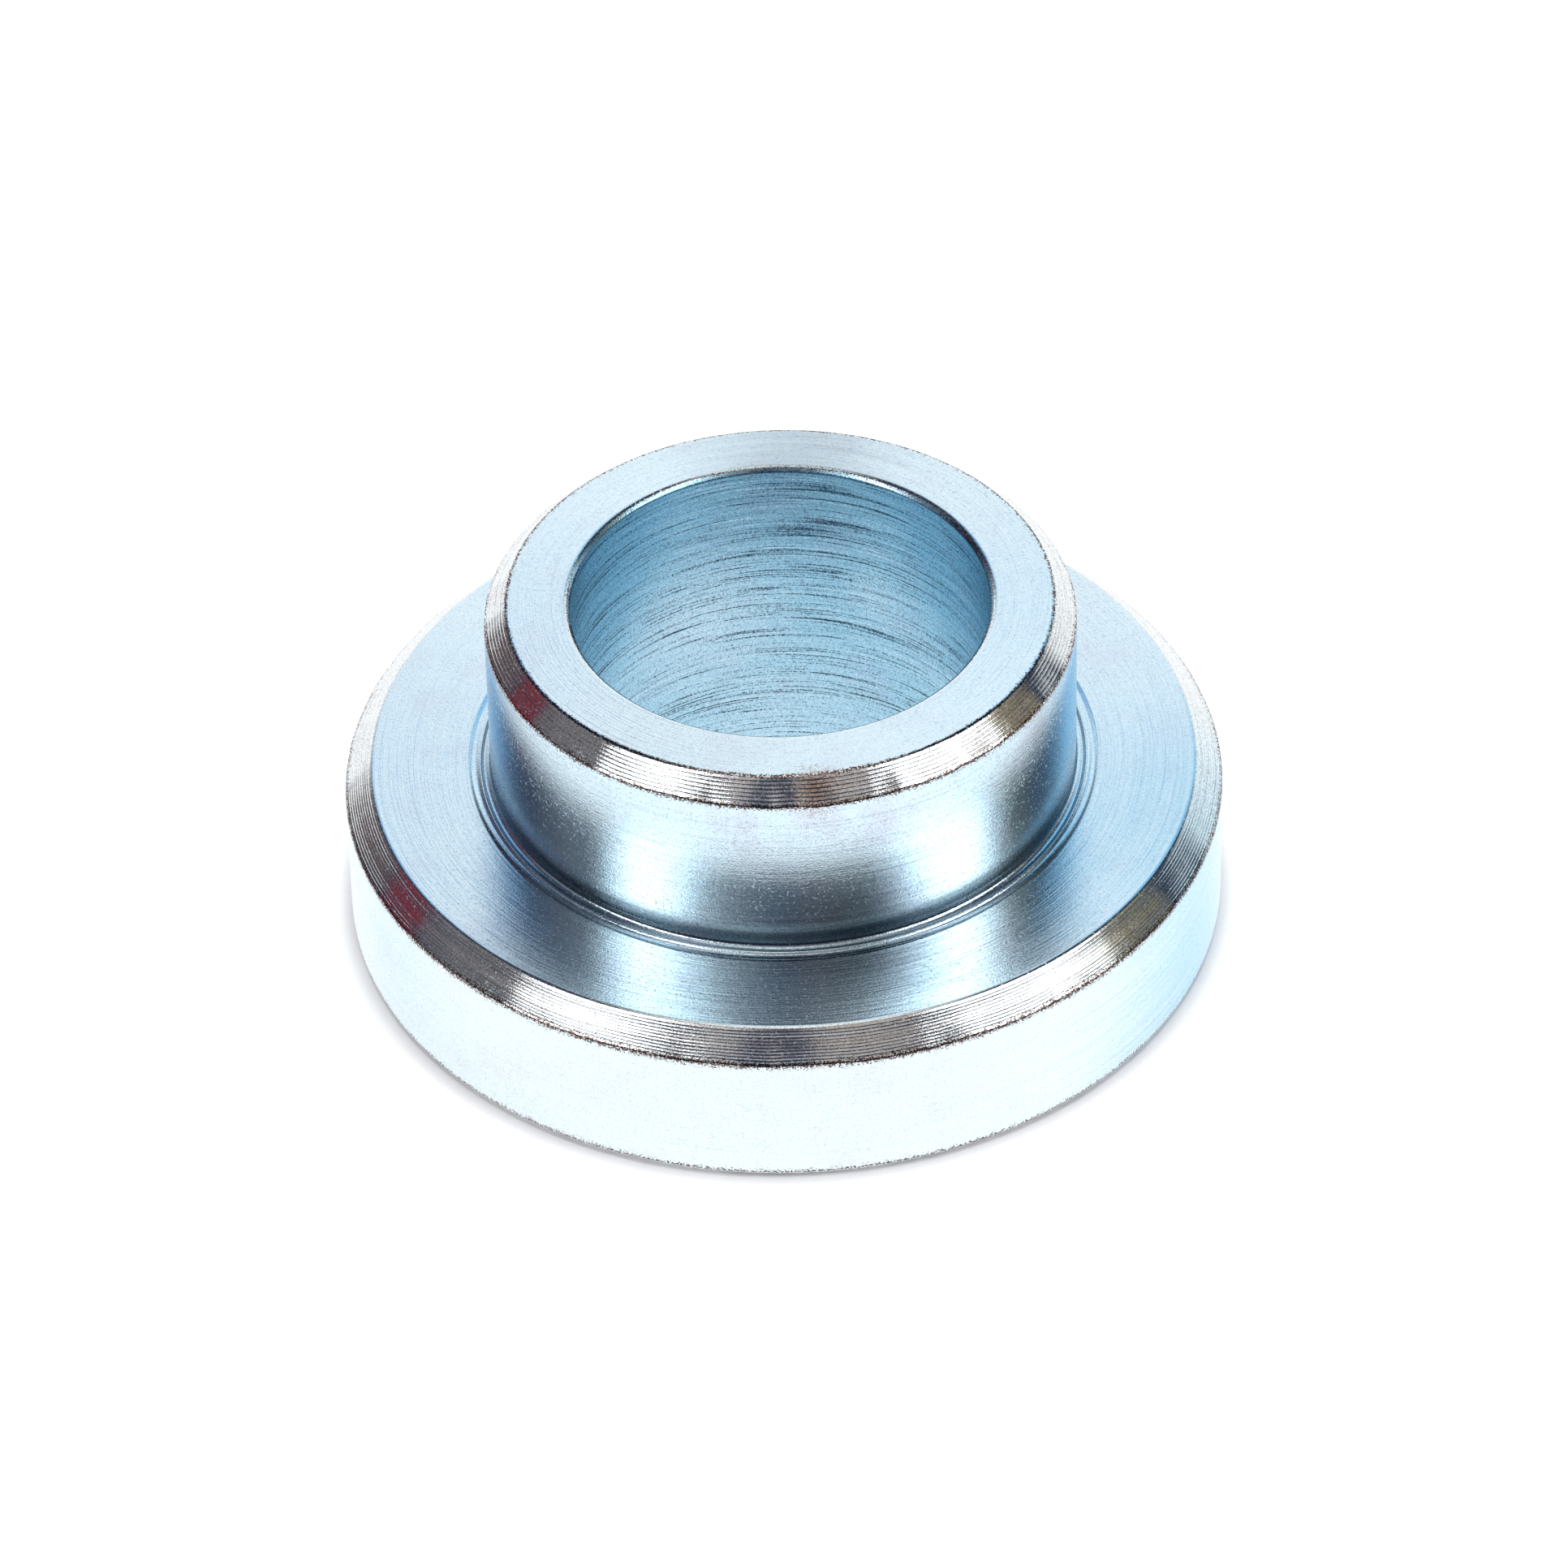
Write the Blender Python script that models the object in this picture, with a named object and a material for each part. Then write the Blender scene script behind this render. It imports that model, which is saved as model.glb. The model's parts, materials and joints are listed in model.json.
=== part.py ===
"""Flanged bushing turned in one piece: a round flange with a shorter, narrower boss standing on it and a
plain bore through both. Metres, +Z up along the bore, with the flange's flat base on Z = 0 and the axis
through the origin."""

import math

import bmesh
import bpy
from mathutils import Vector

# The diameters.
BORE_DIAMETER = 0.017
BOSS_DIAMETER = 0.024
FLANGE_DIAMETER = 0.036

# The lengths along the axis.
FLANGE_THICKNESS = 0.0071
BOSS_HEIGHT = 0.0081

# The corners, each as its size along either face that it joins.
FLANGE_CHAMFER = 0.0011
BOSS_CHAMFER = 0.0009
BORE_EDGE_BREAK = 0.0002
BASE_EDGE_BREAK = 0.0003
FOOT_FILLET = 0.0003

# How finely the round shapes are faceted.
TURN_STEPS = 120
FILLET_STEPS = 6
SMOOTH_BELOW = math.radians(30)

# The bright zinc plating.
PLATING_COLOUR = (0.80, 0.83, 0.85, 1.0)
PLATING_ROUGHNESS = 0.22


def clear_scene():
    for obj in list(bpy.data.objects):
        bpy.data.objects.remove(obj, do_unlink=True)


def section_corners():
    """The sharp corners of the section, anticlockwise, each with the size and the steps of its own shape."""
    bore = BORE_DIAMETER / 2
    boss = BOSS_DIAMETER / 2
    flange = FLANGE_DIAMETER / 2
    top = FLANGE_THICKNESS + BOSS_HEIGHT
    return [
        (bore, 0, BORE_EDGE_BREAK, 1),
        (flange, 0, BASE_EDGE_BREAK, 1),
        (flange, FLANGE_THICKNESS, FLANGE_CHAMFER, 1),
        (boss, FLANGE_THICKNESS, FOOT_FILLET, FILLET_STEPS),
        (boss, top, BOSS_CHAMFER, 1),
        (bore, top, BORE_EDGE_BREAK, 1),
    ]


def draw_section(bm):
    """One side of the bushing cut through its axis, with every corner chamfered or rounded."""
    corners = section_corners()
    verts = [bm.verts.new((radius, 0, height)) for radius, height, _, _ in corners]
    bm.faces.new(verts)
    for vert, (_, _, size, steps) in zip(verts, corners):
        bmesh.ops.bevel(
            bm,
            geom=[vert],
            affect="VERTICES",
            offset_type="OFFSET",
            offset=size,
            segments=steps,
            profile=0.5,
            material=-1,
        )


def turn_section(bm):
    """Turns the section's outline once round the axis, which closes into a ring, and leaves out its face."""
    bmesh.ops.delete(bm, geom=bm.faces[:], context="FACES_ONLY")
    bmesh.ops.spin(
        bm,
        geom=bm.verts[:] + bm.edges[:],
        cent=Vector(),
        axis=Vector((0, 0, 1)),
        angle=math.tau,
        steps=TURN_STEPS,
        use_merge=True,
    )
    bmesh.ops.recalc_face_normals(bm, faces=bm.faces[:])


def plating_material():
    material = bpy.data.materials.new("zinc_plated_steel")
    material.use_nodes = True
    shader = material.node_tree.nodes["Principled BSDF"]
    shader.inputs["Base Color"].default_value = PLATING_COLOUR
    shader.inputs["Roughness"].default_value = PLATING_ROUGHNESS
    shader.inputs["Metallic"].default_value = 1.0
    return material


def make_bushing():
    mesh = bpy.data.meshes.new("flanged_bushing")
    bm = bmesh.new()
    draw_section(bm)
    turn_section(bm)
    bm.to_mesh(mesh)
    bm.free()
    mesh.shade_smooth()
    mesh.set_sharp_from_angle(angle=SMOOTH_BELOW)
    mesh.materials.append(plating_material())
    bushing = bpy.data.objects.new("flanged_bushing", mesh)
    bpy.context.scene.collection.objects.link(bushing)


def main():
    clear_scene()
    make_bushing()


main()
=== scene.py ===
"""Dresses the flanged bushing: one turned piece with a bright zinc finish, on a plain white floor.

The file is laid out as an add-on. Each operator makes one thing from the sizes and colours in the panel."""

import json
import math

import bmesh
import bpy
from mathutils import Matrix, Vector, noise


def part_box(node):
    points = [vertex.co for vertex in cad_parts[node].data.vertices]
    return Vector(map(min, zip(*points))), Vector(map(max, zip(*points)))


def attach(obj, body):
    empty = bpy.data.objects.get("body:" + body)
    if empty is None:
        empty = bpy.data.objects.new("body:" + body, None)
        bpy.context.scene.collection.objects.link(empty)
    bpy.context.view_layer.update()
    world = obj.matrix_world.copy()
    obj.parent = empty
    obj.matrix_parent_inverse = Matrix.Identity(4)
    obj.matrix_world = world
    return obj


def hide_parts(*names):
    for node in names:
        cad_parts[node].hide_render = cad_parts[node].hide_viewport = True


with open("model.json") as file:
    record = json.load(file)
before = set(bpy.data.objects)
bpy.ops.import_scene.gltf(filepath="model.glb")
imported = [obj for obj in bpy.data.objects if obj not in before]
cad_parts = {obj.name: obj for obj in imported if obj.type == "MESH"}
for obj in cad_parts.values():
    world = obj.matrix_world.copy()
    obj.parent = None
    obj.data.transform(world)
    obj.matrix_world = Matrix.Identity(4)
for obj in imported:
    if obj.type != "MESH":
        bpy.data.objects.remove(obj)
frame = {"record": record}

bl_info = {
    "name": "Flanged bushing",
    "version": (1, 0, 0),
    "blender": (4, 5, 0),
    "location": "3D View > Sidebar > Bushing",
    "description": "Makes a turned, zinc-plated flanged bushing and a plain studio round it",
    "category": "Add Mesh",
}

NODE = "flanged_bushing"

# The frame gives the overall sizes, and the height of the flange's upper face.
CAD_LOW, CAD_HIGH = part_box(NODE)
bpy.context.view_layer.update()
MOUNT_PLACES = {mount["name"]: mount["pos_m"] for mount in frame["record"]["mounts"]}
SHOULDER_HEIGHT = MOUNT_PLACES["flange_shoulder"][2]

AXIS = Vector((0, 0, 1))
TINY = 0.000001

# How finely the bushing is turned. The last is how many cuts a groove of the tool's feed has.
TURN_STEPS = 360
FILLET_STEPS = 14
ROUNDING_STEPS = 3
FEED_CUTS = 6

# The crest of the ridge at the foot is rounder than its other corners, and its inner corner is sharper.
CREST_ROUNDER = 1.6
INNER_SHARPER = 0.5

# Square to a chamfer, away from the metal, in the section.
OUT_AND_UP = Vector((1, 0, 1)).normalized()

# The rounded ends of a chamfer leave at least this share of it straight.
CHAMFER_LEFT = 0.85

# How far apart the noise is read for two grooves side by side, so that their depths differ.
GROOVE_STEP = 1.7

# A stretch of the outline is held flat if it is this many times as long as the held part of an end.
HELD_FROM = 8

# How quickly the chamfers' lower edges wander round the axis, in long waves and in ripples. What lies above
# this many chamfer sizes below the face wanders with them.
WANDER_WAVES = 9
WANDER_RIPPLES = 31
RIPPLE_SHARE = 0.2
WANDER_DOWN = 1.3

# The nick is just right of the front, in degrees. Its width is a share of the radius.
NICK_AZIMUTH = 6
NICK_WIDTH = 0.07

# The zones of the mesh, one for each finish, and how level a face is in them: 1 is flat, and 0 is upright.
FACE, WALL, RIM, CHAMFER, BORE = range(5)
FACE_LEVEL = 0.95
BORE_LEVEL = 0.9
CHAMFER_LEVEL = 0.4

# The widths of the plate's marks, in metres. The grain of zinc is near 0.01 mm: it is drawn 13 to a
# millimetre and its frosted specks 8, as coarse as they need to be to show. A cloud is about 2.4 mm wide.
GRAIN_WIDTH = 0.001 / 13
SPECK_WIDTH = 0.001 / 8
CLOUD_WIDTH = 0.001 / 0.42

# A frosted speck is this much rougher than the plate round it.
SPECK_ROUGHER = 0.25

# How quickly a tool line changes along its way round the axis. It is slow, so the lines are long.
LINE_CHANGES = (1.7, 1.7, 0)

# The painted shade low on the boss's wall, by its foot: its height in metres, and how much taller it is than
# wide.
PAINTED_FOOT_SHADE = 0.001
PAINTED_FOOT_SHADE_TALLER = 14.0

# How far the rust reaches from the nick, in metres.
RUST_REACH = 0.001

# The camera's sensor is Blender's own, and the photograph is square.
SENSOR_WIDTH = 36.0

# The soft boxes: the azimuth, elevation, width, height and lean of each, in degrees, and how bright they are.
LAMPS = {
    "left_soft_box": (-54.5, 42, 16.5, 36, -32),
    "right_soft_box": (66.5, 42, 22, 36, 40),
}
LAMP_RADIANCE = 3.2

# The room is dark on the camera's side. A white sweep stands behind the bushing and closes overhead. It is
# turned a little, and its sides draw back as they rise. The angles are in degrees, and a pair has where the
# sweep starts and where it is full.
ROOM = "#3A4354"
SWEEP = "#FAFDFF"
SWEEP_TURN = 8
SWEEP_SIDES = (97, 125)
SWEEP_TOP = (66, 78)
SIDES_DRAW_BACK = 1.2
DRAW_BACK_UP_TO = 42
WORLD_STRENGTH = 1.06

# Soft round patches that the metal mirrors: the azimuth and elevation of each, how far it is full, where it
# ends, and its colour. The angles are in degrees. The second group lies over the sweep.
PATCHES = {
    "front above the camera": (0, 64, 5, 14, "#6E6674"),
    "left of the front": (-23, 53, 3, 12, "#DAD2D0"),
    "right of the front": (25, 52, 6, 16, "#C4BAB4"),
    "right wall": (93, 29, 9, 15, "#988C76"),
    "left wall": (-88, 32, 10, 20, "#79767A"),
}
SWEEP_PATCHES = {
    "left edge of the sweep": (-126, 9, 8, 17, "#64585B"),
    "left curtain": (-108.5, 20.5, 3.5, 9, "#8E323B"),
    "right blue": (154, 42, 8, 16, "#92CBEF"),
    "left blue": (-156, 42, 5, 14, "#8FB9E2"),
}

# How round the floor is, its own white in the metal and for the camera, and its shadow's reach in metres.
FLOOR_SEGMENTS = 96
FLOOR_IN_METAL = 0.72
FLOOR_IN_VIEW = 0.85
SHADOW_REACH = 0.0021

WHITE = (1.0, 1.0, 1.0, 1.0)


def linear(hex_colour):
    """An sRGB hex colour as linear red, green and blue."""
    channels = [int(hex_colour[i:i + 2], 16) / 255 for i in (1, 3, 5)]
    return tuple(c / 12.92 if c <= 0.04045 else ((c + 0.055) / 1.055) ** 2.4 for c in channels)


def opaque(colour):
    """A colour with its alpha, as a socket takes it."""
    return (*colour, 1.0)


def direction(azimuth, elevation):
    """The unit vector towards a place, by its degrees right of the camera and above the floor."""
    azimuth, elevation = math.radians(azimuth), math.radians(elevation)
    return Vector((
        math.sin(azimuth) * math.cos(elevation), -math.cos(azimuth) * math.cos(elevation), math.sin(elevation)
    ))


def size_prop(name, description, default):
    """A length in metres for the panel."""
    return bpy.props.FloatProperty(
        name=name, description=description, default=default, min=0, precision=5, unit="LENGTH"
    )


def angle_prop(name, description, degrees):
    """An angle for the panel, which Blender keeps in radians."""
    return bpy.props.FloatProperty(
        name=name, description=description, default=math.radians(degrees), unit="ROTATION"
    )


def colour_prop(name, description, hex_colour):
    """A colour for the panel, which Blender keeps as linear."""
    return bpy.props.FloatVectorProperty(
        name=name, description=description, default=linear(hex_colour), size=3, min=0, max=1, subtype="COLOR"
    )


class BushingSizes(bpy.types.PropertyGroup):
    height: size_prop("Height", "Whole height, from the base to the boss's end", CAD_HIGH.z - CAD_LOW.z)
    flange_diameter: size_prop("Flange diameter", "Outer diameter of the flange", CAD_HIGH.x - CAD_LOW.x)
    flange_thickness: size_prop("Flange thickness", "Height of the flange's upper face", SHOULDER_HEIGHT)
    boss_diameter: size_prop("Boss diameter", "Outer diameter of the boss", 0.024)
    bore_diameter: size_prop("Bore diameter", "Diameter of the bore", 0.017)
    flange_chamfer: size_prop("Flange chamfer", "Size of the flange's chamfer along either face", 0.0011)
    boss_chamfer: size_prop("Boss chamfer", "Size of the boss's chamfer along either face", 0.0009)
    bore_break: size_prop("Bore edge break", "Size of the broken edge at either end of the bore", 0.0002)
    base_break: size_prop("Base edge break", "Size of the broken edge round the base", 0.0003)
    foot_fillet: size_prop("Foot fillet", "Radius of the fillet between the boss and the flange", 0.00026)
    foot_drop: size_prop("Foot drop", "Depth of the cut below the flange's face at the foot", 0.00006)
    foot_ridge: size_prop("Foot ridge", "Distance from the boss to the crest of the foot's ridge", 0.00042)
    ridge_width: size_prop("Ridge width", "How far the ridge at the foot reaches either way", 0.00013)
    ridge_rise: size_prop("Ridge rise", "Height of that ridge over the flange's face", 0.00007)
    foot_reach: size_prop("Foot reach", "Distance from the boss to the start of the flange's face", 0.0009)
    ridge_rounding: size_prop("Ridge rounding", "Reach of the rounding of that ridge's corners", 0.00005)
    edge_rounding: size_prop("Edge rounding", "Reach of the rounding of the lower edges", 0.00005)
    top_rounding: size_prop("Top rounding", "Reach of the rounding of the chamfers' upper edges", 0.00009)
    edge_wander: size_prop("Edge wander", "How far the chamfers' lower edges wander from true", 0.00009)
    dip: size_prop("Dip", "Depth of the nick in the lower edge of the boss's chamfer", 0.0001)
    flange_feed: size_prop("Flange feed", "Spacing of the tool's lines on the flange's chamfer", 0.000125)
    boss_feed: size_prop("Boss feed", "Spacing of the tool's lines on the boss's chamfer", 0.00016)
    feed_depth: size_prop("Feed depth", "Depth of the tool's lines on the chamfers", 0.000009)


class BushingColours(bpy.types.PropertyGroup):
    face: colour_prop("Faces", "Zinc on the flat turned faces", "#E6F7FF")
    wall: colour_prop("Wall", "Zinc on the boss's wall", "#DFF4FC")
    rim: colour_prop("Rim", "Zinc on the flange's rim", "#EAF7FA")
    chamfer: colour_prop("Chamfers", "Zinc on the chamfers", "#F2F6F5")
    bore: colour_prop("Bore", "Zinc in the bore, where the blue shows most", "#AEDCF0")
    # Painted light: the pale pools low in the bore.
    pool: colour_prop("Pools", "The pale pools low in the bore, where light gathers", "#D4F1FF")
    cloud: colour_prop("Clouds", "The violet of the clouds in the chromate film", "#C7A9C6")
    # This colour is also the painted shade at the front, in the bore's mouth and at the wall's foot.
    groove_and_shade: colour_prop("Grooves", "The depth of a tool line", "#16344A")
    # This brown-grey is also the painted shade along the edges, besides the dull specks.
    soil_and_edge_shade: colour_prop("Soil", "The brown-grey film along the edges", "#5E4840")
    rust: colour_prop("Rust", "The rust mark at the nick", "#9A745C")


class StudioSettings(bpy.types.PropertyGroup):
    floor_radius: size_prop("Floor radius", "Radius of the round floor", 0.6)
    lamp_distance: size_prop("Lamp distance", "Distance of the lamps from the bushing", 0.5)
    camera_distance: size_prop("Camera distance", "Distance from the camera to what it looks at", 0.35676)
    camera_aim: size_prop("Camera aim", "Height of the point on the axis that the camera looks at", 0.00539)
    camera_height: angle_prop("Camera height", "Angle of the camera above the floor", 40.2)
    camera_roll: angle_prop("Camera roll", "Turn of the camera about its own view", -1.268)
    camera_lens: bpy.props.FloatProperty(
        name="Camera lens", description="Focal length of the camera", default=199.24, unit="CAMERA"
    )
    floor: colour_prop("Floor", "The floor's own colour", "#E8E8EA")


def section_corners(sizes):
    """The sharp corners of the section, anticlockwise, each with the size and the steps of its own shape."""
    bore, boss, flange = sizes.bore_diameter / 2, sizes.boss_diameter / 2, sizes.flange_diameter / 2
    shoulder, top = sizes.flange_thickness, sizes.height
    crest, spread, foot = boss + sizes.foot_ridge, sizes.ridge_width, shoulder - sizes.foot_drop
    rounding = sizes.ridge_rounding
    return [
        (bore, 0, sizes.bore_break, 1),
        (flange, 0, sizes.base_break, 1),
        (flange, shoulder, sizes.flange_chamfer, 1),
        (boss + sizes.foot_reach, shoulder, rounding, ROUNDING_STEPS),
        (boss + sizes.foot_reach - spread, foot, rounding, ROUNDING_STEPS),
        (crest + spread, foot, rounding, ROUNDING_STEPS),
        (crest, shoulder + sizes.ridge_rise, CREST_ROUNDER * rounding, ROUNDING_STEPS),
        (crest - spread, foot, INNER_SHARPER * rounding, ROUNDING_STEPS),
        (boss, foot, sizes.foot_fillet, FILLET_STEPS),
        (boss, top, sizes.boss_chamfer, 1),
        (bore, top, sizes.bore_break, 1),
    ]


def shape_corner(bm, vert, size, steps):
    """Chamfers or rounds a corner of the section, and gives the vertices that it left."""
    shaped = bmesh.ops.bevel(
        bm,
        geom=[vert],
        affect="VERTICES",
        offset_type="OFFSET",
        offset=size,
        segments=steps,
        profile=0.5,
        material=-1,
    )
    return shaped["verts"]


def draw_section(bm, sizes):
    """One side of the bushing cut through its axis, with its corners shaped and chamfers' edges rounded."""
    corners = section_corners(sizes)
    verts = [bm.verts.new((radius, 0, height)) for radius, height, _, _ in corners]
    bm.faces.new(verts)
    for vert, (_, _, size, steps) in zip(verts, corners):
        left = shape_corner(bm, vert, size, steps)
        if steps == 1:
            upper = max(point.co.z for point in left)
            for edge_point in left:
                reach = sizes.top_rounding if edge_point.co.z == upper else sizes.edge_rounding
                shape_corner(bm, edge_point, reach, ROUNDING_STEPS)


def find_chamfer(bm, size):
    """The edge of the outline that is a chamfer of this size: it slants evenly, and its ends are rounded."""
    for edge in bm.edges:
        across, up = (abs(value) for value in (edge.verts[0].co - edge.verts[1].co).xz)
        if abs(across - up) < TINY and CHAMFER_LEFT * size < across < size:
            return edge
    raise ValueError(f"the outline has no chamfer of {size} m")


def feed_lines(bm, sizes):
    """Gives both chamfers the narrow grooves that the tool's feed left, no two of them quite alike."""
    chamfers = ((sizes.flange_chamfer, sizes.flange_feed), (sizes.boss_chamfer, sizes.boss_feed))
    for size, pitch in chamfers:
        slant = find_chamfer(bm, size)
        start, length = slant.verts[0].co.copy(), slant.calc_length()
        lines = round(length / pitch)
        cut = bmesh.ops.subdivide_edges(bm, edges=[slant], cuts=lines * FEED_CUTS - 1)
        for vert in [item for item in cut["geom_inner"] if isinstance(item, bmesh.types.BMVert)]:
            along = (vert.co - start).length / length * lines
            uneven = noise.noise(Vector((math.floor(along) * GROOVE_STEP, pitch / TINY, 0)))
            narrow = (1 - abs(math.sin(along * math.pi))) ** 2
            vert.co -= OUT_AND_UP * sizes.feed_depth * (1 + uneven) * narrow


def hold_flats(bm, reach):
    """Cuts every long straight stretch close to both its ends, which keeps it flat when shaded smooth."""
    for edge in [edge for edge in bm.edges if edge.calc_length() > HELD_FROM * reach]:
        ends = [vert.co.copy() for vert in edge.verts]
        cut = bmesh.ops.subdivide_edges(bm, edges=[edge], cuts=2)
        for vert in [item for item in cut["geom_inner"] if isinstance(item, bmesh.types.BMVert)]:
            end = min(ends, key=lambda point: (point - vert.co).length)
            vert.co = end + (vert.co - end).normalized() * reach


def turn_section(bm):
    """Turns the outline once round the axis, which closes into a ring."""
    bmesh.ops.spin(
        bm,
        geom=bm.verts[:] + bm.edges[:],
        cent=Vector(),
        axis=AXIS,
        angle=math.tau,
        steps=TURN_STEPS,
        use_merge=True,
    )
    bmesh.ops.recalc_face_normals(bm, faces=bm.faces[:])


def wander_edges(bm, sizes):
    """Lets the lower edges of both chamfers run a little uneven, with one nick in the boss's at the front."""
    nick = direction(NICK_AZIMUTH, 0)
    for radius, top, size, dip in (
        (sizes.flange_diameter / 2, sizes.flange_thickness, sizes.flange_chamfer, 0),
        (sizes.boss_diameter / 2, sizes.height, sizes.boss_chamfer, sizes.dip),
    ):
        lowest = top - WANDER_DOWN * size
        for vert in bm.verts:
            out = math.hypot(vert.co.x, vert.co.y)
            if not (radius - size <= out <= radius + TINY and lowest < vert.co.z < top - TINY):
                continue
            place = Vector((vert.co.x, vert.co.y, 0)).normalized()
            waves = noise.noise(place * WANDER_WAVES) + RIPPLE_SHARE * noise.noise(place * WANDER_RIPPLES)
            shift = sizes.edge_wander * waves
            shift -= dip * max(0, 1 - (place - nick).length / NICK_WIDTH)
            vert.co.z += min(1, (top - vert.co.z) / size) * shift


def zone_of(face, sizes):
    """The zone that a face of the mesh is in, by where it lies and how level it is."""
    centre = face.calc_center_median()
    radius = math.hypot(centre.x, centre.y)
    level = abs(face.normal.z)
    if radius < sizes.bore_diameter / 2 + sizes.bore_break / 2 and level < BORE_LEVEL:
        return BORE
    if level > FACE_LEVEL:
        return FACE
    foot_radius = sizes.boss_diameter / 2 + sizes.foot_reach
    in_foot = radius < foot_radius and centre.z < sizes.flange_thickness + sizes.foot_fillet
    if level > CHAMFER_LEVEL and not in_foot:
        return CHAMFER
    return RIM if radius > foot_radius else WALL


def make_bushing_mesh(sizes):
    """The bushing as one closed mesh, with a zone for each of its faces."""
    bm = bmesh.new()
    draw_section(bm, sizes)
    bmesh.ops.delete(bm, geom=bm.faces[:], context="FACES_ONLY")
    feed_lines(bm, sizes)
    hold_flats(bm, sizes.edge_rounding / 2)
    turn_section(bm)
    wander_edges(bm, sizes)
    mesh = bpy.data.meshes.new("turned_bushing")
    for face in bm.faces:
        face.material_index = zone_of(face, sizes)
        face.smooth = True
    bm.to_mesh(mesh)
    bm.free()
    return mesh


def add_node(tree, kind, inputs=None, **settings):
    """Adds a node with its settings. Each input is a value, or the output that is linked to it."""
    node = tree.nodes.new(kind)
    for name, value in settings.items():
        setattr(node, name, value)
    for key, value in (inputs or {}).items():
        if isinstance(value, bpy.types.NodeSocket):
            tree.links.new(value, node.inputs[key])
        else:
            node.inputs[key].default_value = value
    return node


def lay_tint(tree, tone, tint, value, start, full, amount=1.0, **easing):
    """Lays a tint over a tone: none of it where the value is at start, and the amount where it is full."""
    share = add_node(
        tree, "ShaderNodeMapRange",
        {"Value": value, "From Min": start, "From Max": full, "To Max": amount}, **easing,
    ).outputs[0]
    return add_node(tree, "ShaderNodeMix", {0: share, 6: tone, 7: opaque(tint)}, data_type="RGBA").outputs[2]


def gap_to(tree, place, centre, reach):
    """How far a point is from a centre, counted in reaches."""
    gap = add_node(tree, "ShaderNodeVectorMath", {0: place, 1: centre}, operation="DISTANCE").outputs["Value"]
    return add_node(tree, "ShaderNodeMath", {0: gap, 1: reach}, operation="DIVIDE").outputs[0]


def draw_lines(tree, around, section, line_width):
    """Long broken tool lines. They run round the axis, and are fine across it on flat and upright metal."""
    split = add_node(tree, "ShaderNodeSeparateXYZ", {0: section}).outputs
    across = add_node(tree, "ShaderNodeMath", {0: split[0], 1: split[1]}, operation="SUBTRACT").outputs[0]
    across = add_node(tree, "ShaderNodeMath", {0: across, 1: 1 / line_width}, operation="MULTIPLY").outputs[0]
    across = add_node(tree, "ShaderNodeCombineXYZ", {2: across}).outputs[0]
    line_place = add_node(
        tree, "ShaderNodeVectorMath", {0: around, 1: LINE_CHANGES, 2: across}, operation="MULTIPLY_ADD"
    ).outputs[0]
    return add_node(
        tree, "ShaderNodeTexNoise", {"Vector": line_place, "Scale": 1.0, "Detail": 5.0, "Roughness": 0.62}
    ).outputs["Fac"]


def painted_light_places(sizes, colours):
    """Where light and shade are painted on the plate: degrees right of the front, then height, radius and
    reach in metres, then how much of the tint it has, and the tint."""
    bore, boss, rim = sizes.bore_diameter / 2, sizes.boss_diameter / 2, sizes.flange_diameter / 2
    on_flange = 0.0145
    return (
        # Painted shade at the front of the wall and of the flange's face, where they mirror the dark room.
        (14, 0.0080, boss, 0.0046, 0.38, colours.groove_and_shade),
        (16, sizes.flange_thickness, on_flange, 0.0034, 0.32, colours.groove_and_shade),
        (-14, sizes.flange_thickness, on_flange, 0.0030, 0.2, colours.groove_and_shade),
        # Painted light down in the bore, and painted shade near its upper mouth.
        (204, 0.0078, bore, 0.0046, 0.95, colours.pool),
        (152, 0.0092, bore, 0.0018, 0.5, colours.pool),
        (185, 0.0004, bore, 0.0070, 0.6, colours.pool),
        (176, 0.0148, bore, 0.0052, 0.3, colours.groove_and_shade),
        # Painted bluish shade on the sides of the rim.
        (72, 0.0014, rim, 0.0105, 0.9, colours.bore),
        (-64, 0.0040, rim, 0.0050, 0.2, colours.bore),
    )


def lay_painted_light(tree, tone, place, lines, sizes, colours):
    """Lays the painted light and shade. The tool lines make their borders streaky."""
    for azimuth, height, radius, reach, amount, tint in painted_light_places(sizes, colours):
        gap = gap_to(tree, place, direction(azimuth, 0) * radius + AXIS * height, reach)
        streaky = add_node(
            tree, "ShaderNodeMath", {0: lines, 1: 1.2, 2: gap}, operation="MULTIPLY_ADD"
        ).outputs[0]
        tone = lay_tint(tree, tone, tint, streaky, start=1.6, full=0.8, amount=amount)
    return tone


def lay_tool_lines_and_glints(tree, tone, lines, grain, colours, line_dark):
    """Lays dark lines where the tool dug in, which the grain breaks up, and painted glints in bright dashes
    by them.
    """
    broken = add_node(
        tree, "ShaderNodeMath", {0: grain, 1: 0.36, 2: lines}, operation="MULTIPLY_ADD"
    ).outputs[0]
    tone = lay_tint(tree, tone, colours.groove_and_shade, broken, start=0.635, full=0.54, amount=line_dark)
    # Painted glints: bright dashes in the faces' colour beside the lines.
    return lay_tint(tree, tone, colours.face, broken, start=0.77, full=0.83, amount=0.75 * line_dark)


def painted_shade_edges(sizes):
    """The edges with painted shade along them: radius, height, and how wide it is, in metres."""
    bore, boss, flange = sizes.bore_diameter / 2, sizes.boss_diameter / 2, sizes.flange_diameter / 2
    return (
        (boss - sizes.boss_chamfer, sizes.height, 0.00009),
        (boss, sizes.height - sizes.boss_chamfer, 0.00014),
        (flange, sizes.flange_thickness - sizes.flange_chamfer, 0.00017),
        (bore + sizes.bore_break / 2, sizes.height, 0.00007),
        (flange, sizes.base_break, 0.00014),
    )


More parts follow.
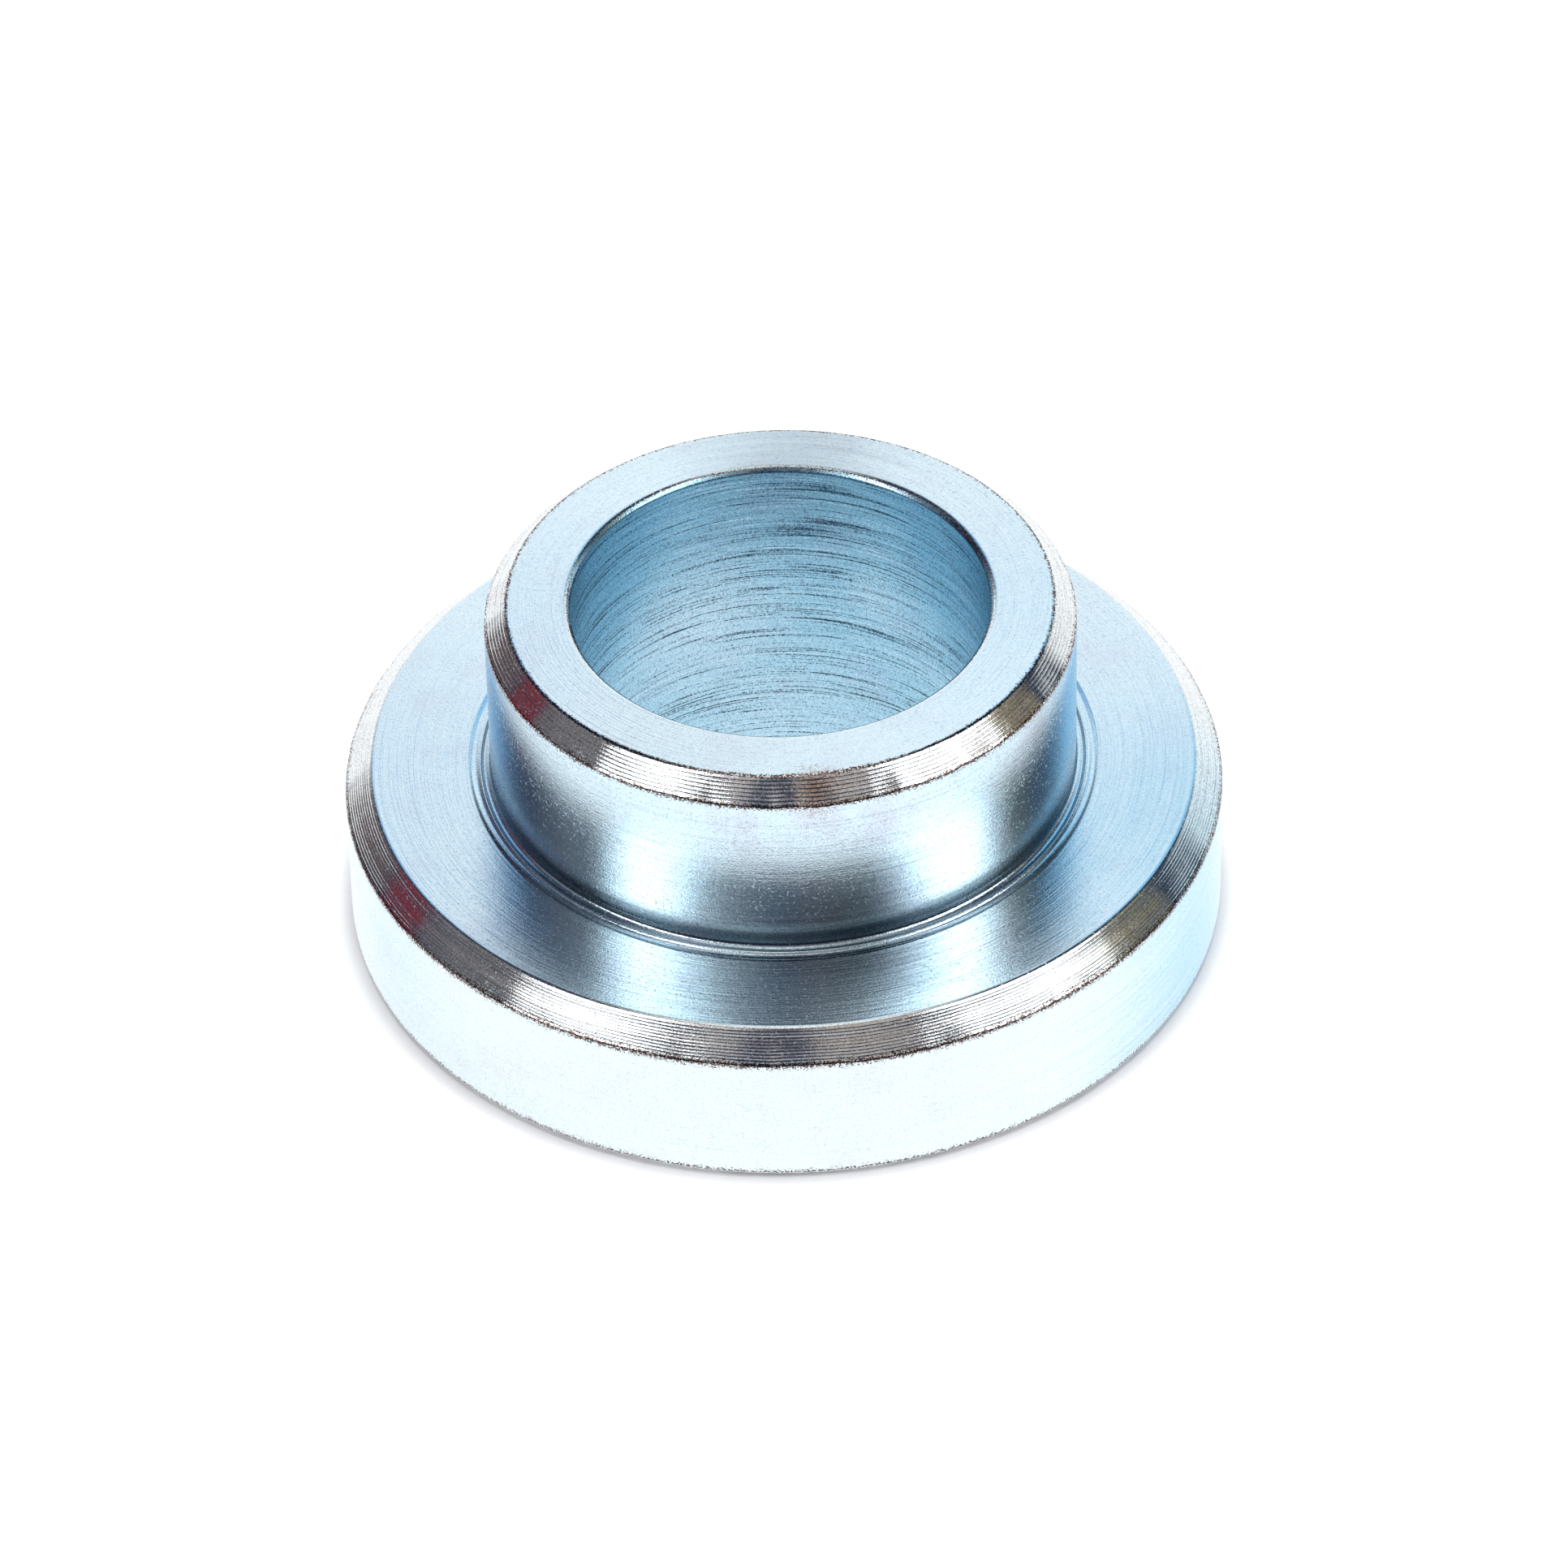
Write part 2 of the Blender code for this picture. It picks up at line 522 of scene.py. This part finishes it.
def lay_painted_edge_shade(tree, tone, section, grain, sizes, colours):
    """Lays painted brown-grey shade along the edges, as their roundings mirror the dark. The grain makes it
    ragged.
    """
    nearest = 9.0
    for radius, height, width in painted_shade_edges(sizes):
        gap = gap_to(tree, section, (radius, height, 0), width)
        nearest = add_node(tree, "ShaderNodeMath", {0: gap, 1: nearest}, operation="MINIMUM").outputs[0]
    ragged = add_node(
        tree, "ShaderNodeMath", {0: grain, 1: 6.0, 2: nearest}, operation="MULTIPLY_ADD"
    ).outputs[0]
    return lay_tint(tree, tone, colours.soil_and_edge_shade, ragged, start=4.0, full=3.2)


def lay_rust(tree, tone, place, grain, sizes, colours):
    """Lays a ragged rust mark on the boss's chamfer, at the nick."""
    halfway = 0.5 * sizes.boss_chamfer
    out, up = sizes.boss_diameter / 2 - halfway, sizes.height - halfway
    gap = gap_to(tree, place, direction(NICK_AZIMUTH, 0) * out + AXIS * up, RUST_REACH)
    ragged = add_node(tree, "ShaderNodeMath", {0: grain, 1: 3.0, 2: gap}, operation="MULTIPLY_ADD").outputs[0]
    return lay_tint(tree, tone, colours.rust, ragged, start=2.6, full=1.6, amount=0.75)


def lay_painted_foot_shade(tree, tone, section, sizes, colours):
    """Lays a painted shade low on the boss's wall, by its foot."""
    stretch = Vector((PAINTED_FOOT_SHADE_TALLER, 1, 1))
    foot = stretch * Vector((sizes.boss_diameter / 2, sizes.flange_thickness, 0))
    tall = add_node(tree, "ShaderNodeVectorMath", {0: section, 1: stretch}, operation="MULTIPLY").outputs[0]
    gap = gap_to(tree, tall, foot, PAINTED_FOOT_SHADE)
    return lay_tint(tree, tone, colours.groove_and_shade, gap, start=0.95, full=0.6, amount=0.72)


def turned_zinc(
    name, sizes, colours, colour, roughness, spread,
    line_width, line_depth, line_dark, stain, grain_depth, speckle,
):
    """Bright zinc plate over turned steel. The grooves run round the axis, so light smears across them.

    Spread is how far the light smears. A line's width and depth and the grain's depth are in metres. The rest
    are shares: how dark the lines are, which also sets how bright their painted glints are, and how strong
    the clouds and the dull specks are."""
    material = bpy.data.materials.new(name)
    material.use_nodes = True
    tree = material.node_tree
    shader = tree.nodes["Principled BSDF"]
    place = add_node(tree, "ShaderNodeTexCoord").outputs["Object"]
    split = add_node(tree, "ShaderNodeSeparateXYZ", {0: place}).outputs
    flat = add_node(tree, "ShaderNodeCombineXYZ", {0: split[0], 1: split[1]}).outputs[0]
    radius = add_node(tree, "ShaderNodeVectorMath", {0: flat}, operation="LENGTH").outputs["Value"]
    around = add_node(tree, "ShaderNodeVectorMath", {0: flat}, operation="NORMALIZE").outputs[0]
    section = add_node(tree, "ShaderNodeCombineXYZ", {0: radius, 1: split[2]}).outputs[0]

    # The relief of the plate, from the tool lines and the grain.
    lines = draw_lines(tree, around, section, line_width)
    grain = add_node(
        tree, "ShaderNodeTexNoise",
        {"Vector": place, "Scale": 1 / GRAIN_WIDTH, "Detail": 2.0, "Roughness": 0.65},
    ).outputs["Fac"]
    relief = add_node(tree, "ShaderNodeMath", {0: lines, 1: line_depth}, operation="MULTIPLY").outputs[0]
    relief = add_node(
        tree, "ShaderNodeMath", {0: grain, 1: grain_depth, 2: relief}, operation="MULTIPLY_ADD"
    ).outputs[0]
    bump = add_node(tree, "ShaderNodeBump", {"Strength": 1.0, "Distance": 1.0, "Height": relief}).outputs[0]

    # Frosted specks. They are rougher than the plate, so they glint where it mirrors something dark.
    frost = add_node(
        tree, "ShaderNodeTexNoise", {"Vector": place, "Scale": 1 / SPECK_WIDTH, "Detail": 1.0}
    ).outputs["Fac"]
    frost = add_node(
        tree, "ShaderNodeMapRange",
        {
            "Value": frost, "From Min": 0.6, "From Max": 0.7,
            "To Min": roughness, "To Max": roughness + SPECK_ROUGHER,
        },
    ).outputs[0]

    # The tone: faint violet clouds, as a thin chromate film has, and all that lies over them, painted light
    # and shade too.
    cloud = add_node(
        tree, "ShaderNodeTexNoise", {"Vector": place, "Scale": 1 / CLOUD_WIDTH, "Detail": 4.0}
    ).outputs["Fac"]
    tone = lay_tint(tree, opaque(colour), colours.cloud, cloud, start=0.5, full=0.72, amount=stain)
    # Painted light and shade in set places.
    tone = lay_painted_light(tree, tone, place, lines, sizes, colours)
    # Tool lines, and painted glints beside them.
    tone = lay_tool_lines_and_glints(tree, tone, lines, grain, colours, line_dark)
    # Dull specks in the hollows of the grain.
    tone = lay_tint(tree, tone, colours.soil_and_edge_shade, grain, start=0.56, full=0.36, amount=speckle)
    # Painted shade along the edges.
    tone = lay_painted_edge_shade(tree, tone, section, grain, sizes, colours)
    tone = lay_rust(tree, tone, place, grain, sizes, colours)
    # Painted shade low on the wall, by its foot.
    tone = lay_painted_foot_shade(tree, tone, section, sizes, colours)

    tangent = add_node(tree, "ShaderNodeTangent", direction_type="RADIAL", axis="Z").outputs[0]
    tree.links.new(frost, shader.inputs["Roughness"])
    tree.links.new(tone, shader.inputs["Base Color"])
    tree.links.new(bump, shader.inputs["Normal"])
    tree.links.new(tangent, shader.inputs["Tangent"])
    shader.inputs["Metallic"].default_value = 1.0
    shader.inputs["Anisotropic"].default_value = spread
    shader.inputs["Anisotropic Rotation"].default_value = 0.25
    return material


def finishes(sizes, colours):
    """The five finishes of the plate, in the order of the mesh's zones."""
    return (
        # Faced on the lathe: an even, pale blue sheen with hardly a line in it.
        turned_zinc(
            "faced_zinc_plate", sizes, colours, colours.face, roughness=0.1, spread=0.65,
            line_width=0.00009, line_depth=0.000012, line_dark=0.06,
            stain=0.12, grain_depth=0.000006, speckle=0.12,
        ),
        # Turned to size: a bright wall with fine lines, violet clouds and tall streaks of the lamps.
        turned_zinc(
            "turned_zinc_plate", sizes, colours, colours.wall, roughness=0.11, spread=0.65,
            line_width=0.00007, line_depth=0.000005, line_dark=0.2,
            stain=0.3, grain_depth=0.000008, speckle=0.2,
        ),
        # The rim is rougher. It is nearly white, as it mirrors the floor, with small dull specks.
        turned_zinc(
            "rim_zinc_plate", sizes, colours, colours.rim, roughness=0.15, spread=0.6,
            line_width=0.00009, line_depth=0.000003, line_dark=0.06,
            stain=0.12, grain_depth=0.000004, speckle=0.16,
        ),
        # Cut at a slant: it mirrors the dark side of the room, and specks glint in it.
        turned_zinc(
            "chamfer_zinc_plate", sizes, colours, colours.chamfer, roughness=0.11, spread=0.6,
            line_width=0.00012, line_depth=0.000002, line_dark=0.3,
            stain=0.1, grain_depth=0.0000035, speckle=0.4,
        ),
        # Bored: rougher and bluer, with dark broken lines where the boring tool dug in.
        turned_zinc(
            "bored_zinc_plate", sizes, colours, colours.bore, roughness=0.25, spread=0.6,
            line_width=0.00007, line_depth=0.000012, line_dark=0.95,
            stain=0.12, grain_depth=0.000008, speckle=0.25,
        ),
    )


class BUSHING_OT_turn(bpy.types.Operator):
    """Make the turned bushing, which stands for the plain solid of the frame"""

    bl_idname = "bushing.turn"
    bl_label = "Turn the bushing"

    def execute(self, context):
        sizes, colours = context.scene.bushing_sizes, context.scene.bushing_colours
        bushing = bpy.data.objects.new("turned_bushing", make_bushing_mesh(sizes))
        context.scene.collection.objects.link(bushing)
        for finish in finishes(sizes, colours):
            bushing.data.materials.append(finish)
        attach(bushing, "root")
        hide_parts(NODE)
        return {"FINISHED"}


def add_lamp(studio, name, azimuth, elevation, width, height, lean):
    """A soft box: a rectangle of light that faces the bushing. Its angles are in degrees."""
    lamp = bpy.data.lights.new(name, "AREA")
    lamp.shape = "RECTANGLE"
    lamp.size = 2 * studio.lamp_distance * math.tan(math.radians(width) / 2)
    lamp.size_y = 2 * studio.lamp_distance * math.tan(math.radians(height) / 2)
    lamp.energy = LAMP_RADIANCE * math.pi * lamp.size * lamp.size_y
    box = bpy.data.objects.new(name, lamp)
    bpy.context.scene.collection.objects.link(box)
    towards = direction(azimuth, elevation)
    box.location = towards * studio.lamp_distance
    turn = towards.to_track_quat("Z", "Y").to_matrix() @ Matrix.Rotation(math.radians(lean), 3, "Z")
    box.rotation_euler = turn.to_euler()


def add_camera(studio):
    """The camera stands where the photograph was taken from, and looks at a point on the axis."""
    camera = bpy.data.objects.new("camera", bpy.data.cameras.new("camera"))
    bpy.context.scene.collection.objects.link(camera)
    camera.data.lens = studio.camera_lens
    camera.data.sensor_width = SENSOR_WIDTH
    # It sees from a hundredth of the way to the bushing.
    camera.data.clip_start = studio.camera_distance / 100
    towards = direction(0, math.degrees(studio.camera_height))
    place = Matrix.Translation(AXIS * studio.camera_aim + towards * studio.camera_distance)
    turn = towards.to_track_quat("Z", "Y").to_matrix().to_4x4()
    camera.matrix_world = place @ turn @ Matrix.Rotation(studio.camera_roll, 4, "Z")
    bpy.context.scene.camera = camera


def floor_material(colour):
    """Matt white paper. It gives the eye a plain white floor with a soft shadow close to the bushing.

    Its own white is seen by the camera and in the metal only. For the camera it gives way to the shadow."""
    material = bpy.data.materials.new("white_paper_floor")
    material.use_nodes = True
    tree = material.node_tree
    shader = tree.nodes["Principled BSDF"]
    shader.inputs["Base Color"].default_value = opaque(colour)
    shader.inputs["Roughness"].default_value = 0.9
    shader.inputs["Specular IOR Level"].default_value = 0.0
    path = add_node(tree, "ShaderNodeLightPath").outputs
    mirrored = add_node(
        tree, "ShaderNodeMath", {0: path["Is Glossy Ray"], 1: path["Is Transmission Ray"]},
        operation="MAXIMUM",
    ).outputs[0]
    mirrored = add_node(
        tree, "ShaderNodeMath", {0: mirrored, 1: FLOOR_IN_METAL}, operation="MULTIPLY"
    ).outputs[0]
    openness = add_node(
        tree, "ShaderNodeAmbientOcclusion", {"Distance": SHADOW_REACH}, samples=8
    ).outputs["AO"]
    white = add_node(
        tree, "ShaderNodeMapRange",
        {"Value": openness, "From Min": 0.35, "From Max": 0.8, "To Max": FLOOR_IN_VIEW},
    ).outputs[0]
    white = add_node(
        tree, "ShaderNodeMath", {0: path["Is Camera Ray"], 1: white, 2: mirrored}, operation="MULTIPLY_ADD"
    ).outputs[0]
    shader.inputs["Emission Color"].default_value = WHITE
    tree.links.new(white, shader.inputs["Emission Strength"])
    return material


def add_floor(studio):
    """A round floor, wide enough to fill the picture."""
    bm = bmesh.new()
    bmesh.ops.create_circle(bm, cap_ends=True, segments=FLOOR_SEGMENTS, radius=studio.floor_radius)
    mesh = bpy.data.meshes.new("floor")
    bm.to_mesh(mesh)
    bm.free()
    floor = bpy.data.objects.new("floor", mesh)
    bpy.context.scene.collection.objects.link(floor)
    mesh.materials.append(floor_material(studio.floor))


def add_patch(tree, view, colour, patch):
    """Lays one soft round patch over what the studio's directions show so far."""
    azimuth, elevation, full, end, hex_colour = patch
    nearness = add_node(
        tree, "ShaderNodeVectorMath", {0: view, 1: direction(azimuth, elevation)}, operation="DOT_PRODUCT"
    ).outputs["Value"]
    return lay_tint(
        tree, colour, linear(hex_colour), nearness,
        start=math.cos(math.radians(end)), full=math.cos(math.radians(full)), interpolation_type="SMOOTHSTEP",
    )


def add_sweep(tree, view, colour):
    """Lays the white sweep, by how far round to the back a direction is and by how high it is."""
    turned = add_node(
        tree, "ShaderNodeVectorRotate", {"Vector": view, "Angle": math.radians(SWEEP_TURN)},
        rotation_type="Z_AXIS",
    ).outputs[0]
    x, y, z = add_node(tree, "ShaderNodeSeparateXYZ", {0: turned}).outputs
    front = add_node(tree, "ShaderNodeMath", {0: y, 1: -1.0}, operation="MULTIPLY").outputs[0]
    azimuth = add_node(tree, "ShaderNodeMath", {0: x, 1: front}, operation="ARCTAN2").outputs[0]
    azimuth = add_node(tree, "ShaderNodeMath", {0: azimuth}, operation="ABSOLUTE").outputs[0]
    elevation = add_node(tree, "ShaderNodeMath", {0: z}, operation="ARCSINE").outputs[0]
    low = add_node(
        tree, "ShaderNodeMath", {0: elevation, 1: math.radians(DRAW_BACK_UP_TO)}, operation="MINIMUM"
    ).outputs[0]
    behind = add_node(
        tree, "ShaderNodeMath", {0: low, 1: -SIDES_DRAW_BACK, 2: azimuth}, operation="MULTIPLY_ADD"
    ).outputs[0]
    for value, (start, full) in ((behind, SWEEP_SIDES), (elevation, SWEEP_TOP)):
        colour = lay_tint(
            tree, colour, linear(SWEEP), value,
            start=math.radians(start), full=math.radians(full), interpolation_type="SMOOTHSTEP",
        )
    return colour


def light_world():
    """The studio as the metal sees it: a white sweep, dim walls, and the dark on the camera's side."""
    world = bpy.data.worlds.new("studio")
    bpy.context.scene.world = world
    world.use_nodes = True
    tree = world.node_tree
    background = tree.nodes["Background"]
    view = add_node(tree, "ShaderNodeTexCoord").outputs["Generated"]
    colour = opaque(linear(ROOM))
    for patch in PATCHES.values():
        colour = add_patch(tree, view, colour, patch)
    colour = add_sweep(tree, view, colour)
    for patch in SWEEP_PATCHES.values():
        colour = add_patch(tree, view, colour, patch)

    # The camera itself sees plain white.
    path = add_node(tree, "ShaderNodeLightPath").outputs
    colour = add_node(
        tree, "ShaderNodeMix", {0: path["Is Camera Ray"], 6: colour, 7: WHITE}, data_type="RGBA"
    ).outputs[2]
    tree.links.new(colour, background.inputs["Color"])
    background.inputs["Strength"].default_value = WORLD_STRENGTH


class BUSHING_OT_stage(bpy.types.Operator):
    """Make the floor, the lamps, the surroundings and the camera"""

    bl_idname = "bushing.stage"
    bl_label = "Set the stage"

    def execute(self, context):
        studio = context.scene.bushing_studio
        add_floor(studio)
        for name, place in LAMPS.items():
            add_lamp(studio, name, *place)
        light_world()
        add_camera(studio)
        context.scene.view_settings.view_transform = "Standard"
        return {"FINISHED"}


SETTINGS = {
    "bushing_sizes": BushingSizes,
    "bushing_colours": BushingColours,
    "bushing_studio": StudioSettings,
}
STEPS = (BUSHING_OT_turn, BUSHING_OT_stage)


class BUSHING_PT_panel(bpy.types.Panel):
    """Lists the bushing's sizes and colours, and the steps that make it"""

    bl_idname = "BUSHING_PT_panel"
    bl_label = "Bushing"
    bl_space_type = "VIEW_3D"
    bl_region_type = "UI"
    bl_category = "Bushing"

    def draw(self, context):
        for step in STEPS:
            self.layout.operator(step.bl_idname)
        for settings in SETTINGS:
            group = getattr(context.scene, settings)
            for name in group.__annotations__:
                self.layout.prop(group, name)


def register():
    for group in SETTINGS.values():
        bpy.utils.register_class(group)
    for name, group in SETTINGS.items():
        setattr(bpy.types.Scene, name, bpy.props.PointerProperty(type=group))
    for step in STEPS:
        bpy.utils.register_class(step)
    bpy.utils.register_class(BUSHING_PT_panel)


def unregister():
    bpy.utils.unregister_class(BUSHING_PT_panel)
    for step in reversed(STEPS):
        bpy.utils.unregister_class(step)
    for name, group in SETTINGS.items():
        delattr(bpy.types.Scene, name)
        bpy.utils.unregister_class(group)


def main():
    register()
    bpy.ops.bushing.turn()
    bpy.ops.bushing.stage()


if __name__ == "__main__":
    main()
